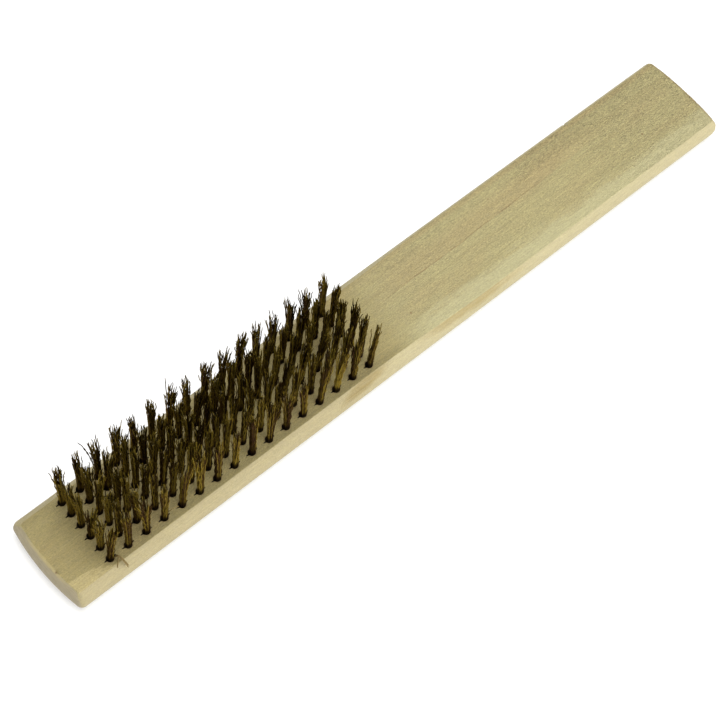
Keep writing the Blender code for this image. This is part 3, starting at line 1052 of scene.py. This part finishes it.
def free_leg(tuft, x, y, limits):
    """Points of one leg of a wire from the hole's mouth to its tip, in the tuft's own place."""
    draw = tuft.random
    height = tuft.height + draw.triangular(-tuft.shorter_by, LONGER_BY, USUALLY_LONGER_BY)
    away = Vector((x, y)) / SPREAD_BASE
    loose = tuft.stray_reach if draw.random() < tuft.stray_share else 1.0
    stray = swing(draw, STRAY_SWING) * loose
    flick = swing(draw, FLICK_SWING)
    wish = Vector((x, y)) + swing(draw, CLUMP_CHOICE_SWING)
    clump_way, clump_reach = max(tuft.clumps, key=lambda clump: clump[0].dot(wish))
    clump = clump_way * clump_reach
    crimp_turn = draw.uniform(0, 2 * math.pi)
    crimp_way = Vector((math.cos(crimp_turn), math.sin(crimp_turn)))
    crimp_height = CRIMP_HEIGHT * draw.uniform(*CRIMP_HEIGHT_RANGE)
    crimp_start = draw.uniform(0, 2 * math.pi)
    crimp_length = CRIMP_LENGTH * draw.uniform(*CRIMP_LENGTH_RANGE)
    points = []
    for step in range(FREE_STEPS + 1):
        s = step / FREE_STEPS
        rise = height * s
        wave = math.sin(2 * math.pi * rise / crimp_length + crimp_start) * crimp_height
        spread = EARLY_SPREAD * s + (1 - EARLY_SPREAD) * s ** SPREAD_POWER
        place = Vector((x, y)) + tuft.lean * s ** LEAN_POWER + away * tuft.spread * spread
        place += clump * s ** SPREAD_POWER + stray * s ** STRAY_POWER + flick * s ** FLICK_POWER
        place += crimp_way * wave * min(1.0, s * CRIMP_ROOT)
        reach_x = max(limits[0], min(limits[1], tuft.x + place.x))
        reach_y = max(-limits[2], min(limits[2], tuft.y + place.y))
        points.append((reach_x, reach_y, min(rise, limits[3])))
    return points


def folded_wire(tuft, fold_x, fold_y, limits, top):
    """Centre line of one wire: down one leg, round under the anchor, and up the other leg."""
    draw = tuft.random
    legs = []
    for side in (-1, 1):
        mouth_x = fold_x + MOUTH_SHIFT[0] + draw.uniform(-MOUTH_SWING, MOUTH_SWING) * MM
        closed_y = side * (fold_y - MOUTH_CLOSING)
        mouth_y = closed_y + MOUTH_SHIFT[1] + draw.uniform(-MOUTH_SWING, MOUTH_SWING) * MM
        leg = free_leg(tuft, mouth_x, mouth_y, limits)
        middle = (tuft.x + (fold_x + mouth_x) / 2, tuft.y + (side * fold_y + mouth_y) / 2, FOLD_CENTER / 2)
        legs.append([middle] + leg)
    fold = []
    for k in range(FOLD_STEPS + 1):
        turn = math.pi * k / FOLD_STEPS
        across = fold_y * math.cos(turn)
        down = fold_y * math.sin(turn)
        fold.append((tuft.x + fold_x, tuft.y - across, FOLD_CENTER - down))
    line = legs[0][::-1] + fold + legs[1]
    return np.array([(x, y, top + z) for x, y, z in line])


def stray_wires(tuft):
    """Loose wires that have sprung out of a bundle, as points measured from the middle of its hole."""
    for column, row, together, wires in STRAY_WIRES:
        if (tuft.column, tuft.row) == (column, row):
            for wire in wires:
                line = smooth_line([(tuft.x + x * MM, tuft.y + y * MM, z * MM) for x, y, z in wire])
                spread = np.linspace(*STRAY_TWIN_SPREAD, len(line))[:, None]
                for twin in STRAY_TWINS[:together]:
                    yield line + spread * np.array(twin) * MM


def smooth_line(points):
    """Points rounded off at their corners, by cutting every corner twice."""
    line = np.array(points)
    for _pass in range(2):
        near = line[:-1] * 0.75 + line[1:] * 0.25
        far = line[:-1] * 0.25 + line[1:] * 0.75
        inner = np.stack([near, far], axis=1).reshape(-1, 3)
        line = np.concatenate([line[:1], inner, line[-1:]])
    return line


def sweep(line, radius, sides):
    """Points and faces of a closed tube, narrowed at both tips, along a line that never runs along X."""
    radii = np.full(len(line), radius)
    radii[[0, -1]] *= TIP_NARROWING
    tangent = np.gradient(line, axis=0)
    tangent /= np.linalg.norm(tangent, axis=1)[:, None]
    first = np.array([1.0, 0.0, 0.0]) - tangent[:, :1] * tangent
    first /= np.linalg.norm(first, axis=1)[:, None]
    second = np.cross(tangent, first)
    turns = 2 * math.pi * np.arange(sides) / sides
    section = (np.cos(turns)[None, :, None] * first[:, None]
               + np.sin(turns)[None, :, None] * second[:, None])
    rings = line[:, None] + radii[:, None, None] * section
    count = len(line)
    near = np.arange(count - 1)[:, None] * sides + np.arange(sides)[None]
    beside = np.arange(count - 1)[:, None] * sides + (np.arange(sides)[None] + 1) % sides
    quads = np.stack([near, beside, beside + sides, near + sides], axis=-1).reshape(-1, 4)
    faces = [tuple(quad) for quad in quads.tolist()]
    faces.append(tuple(reversed(range(sides))))
    faces.append(tuple(range((count - 1) * sides, count * sides)))
    return rings.reshape(-1, 3), faces


def make_tuft(tuft, limits, top, material):
    points, faces, tones, heights = [], [], [], []
    lines = [folded_wire(tuft, fold_x, fold_y, limits, top) for fold_x, fold_y in fold_places()]
    bundle_size = len(lines)
    lines += [line + (0.0, 0.0, top) for line in stray_wires(tuft)]
    for number, line in enumerate(lines):
        tube_points, tube_faces = sweep(line, WIRE_RADIUS, WIRE_SIDES)
        start = sum(len(part) for part in points)
        points.append(tube_points)
        faces += [tuple(start + k for k in face) for face in tube_faces]
        tone = clamp01(tuft.random.uniform(0.0, 1.0) + tuft.tone)
        clean = number >= bundle_size
        tones.append(np.full(len(tube_points), STRAY_TONE if clean else tone))
        heights.append((tube_points[:, 2] - top) / tuft.height + clean)
    points = np.concatenate(points)
    obj = mesh_object(tuft.name, points.tolist(), faces, material, WIRE_ANGLE)
    for name, values in (("wire_tone", tones), ("wire_height", heights)):
        layer = obj.data.attributes.new(name, "FLOAT", "POINT")
        layer.data.foreach_set("value", np.concatenate(values).astype(np.float32))
    return obj


def make_anchors(tufts, top, material):
    outline = rectangle(ANCHOR_LENGTH / 2, ANCHOR_THICKNESS / 2)
    low = top + ANCHOR_BOTTOM
    return make_prisms("tuft_anchors", outline, tufts, low, low + ANCHOR_HEIGHT, material)


# ---- studio

def make_floor():
    corners = [(x, y, 0.0) for x, y in rectangle(FLOOR_HALF, FLOOR_HALF)]
    floor = mesh_object("studio_floor", corners, [(0, 1, 2, 3)], floor_material(), CRISP_ANGLE)
    floor.location.z = -FLOOR_DROP


def make_camera():
    camera = bpy.data.cameras.new("camera")
    camera.lens = CAMERA_LENS
    camera.sensor_width = SENSOR_WIDTH
    camera.clip_start = CLIP_START
    holder = new_object("camera", camera)
    holder.location = CAMERA_PLACE
    holder.rotation_euler = [math.radians(turn) for turn in CAMERA_TURN]
    bpy.context.scene.camera = holder


def make_softbox(name, place, target, size, power):
    light = bpy.data.lights.new(name, "AREA")
    light.shape = "RECTANGLE"
    light.size, light.size_y = size
    light.energy = power
    holder = new_object(name, light)
    holder.location = place
    holder.rotation_euler = (Vector(target) - Vector(place)).to_track_quat("-Z", "Y").to_euler()


def make_studio():
    make_floor()
    make_camera()
    for softbox in SOFTBOXES:
        make_softbox(*softbox)
    world = bpy.data.worlds.new("studio_world")
    world.use_nodes = True
    background = world.node_tree.nodes["Background"]
    background.inputs["Color"].default_value = WHITE
    background.inputs["Strength"].default_value = AMBIENT_LIGHT
    bpy.context.scene.world = world
    bpy.context.scene.view_settings.view_transform = "Standard"


# ---- the whole brush

def make_brush():
    block = Block()
    tufts, row_pitch = read_tufts()
    top = block.thickness
    wood = wood_material(block, hole_field(tufts, row_pitch))
    block_object = make_block_mesh(block, wood)
    cut_holes(block_object, tufts, top, wood)
    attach(block_object, "root")
    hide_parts("handle_block")

    low, high = CAD_BOUNDS
    limits = (low[0] + SIDE_CLEARANCE, high[0] - SIDE_CLEARANCE, high[1] - SIDE_CLEARANCE,
              high[2] - top - TIP_CLEARANCE)
    wire = wire_material()
    for tuft in tufts:
        bundle = make_tuft(tuft, limits, top, wire)
        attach(bundle, "root")
        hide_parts(tuft.node)
    anchors = make_anchors(tufts, top, anchor_material())
    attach(anchors, "root")
    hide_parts(*sorted({tuft.node for tuft in tufts}))


make_studio()
make_brush()
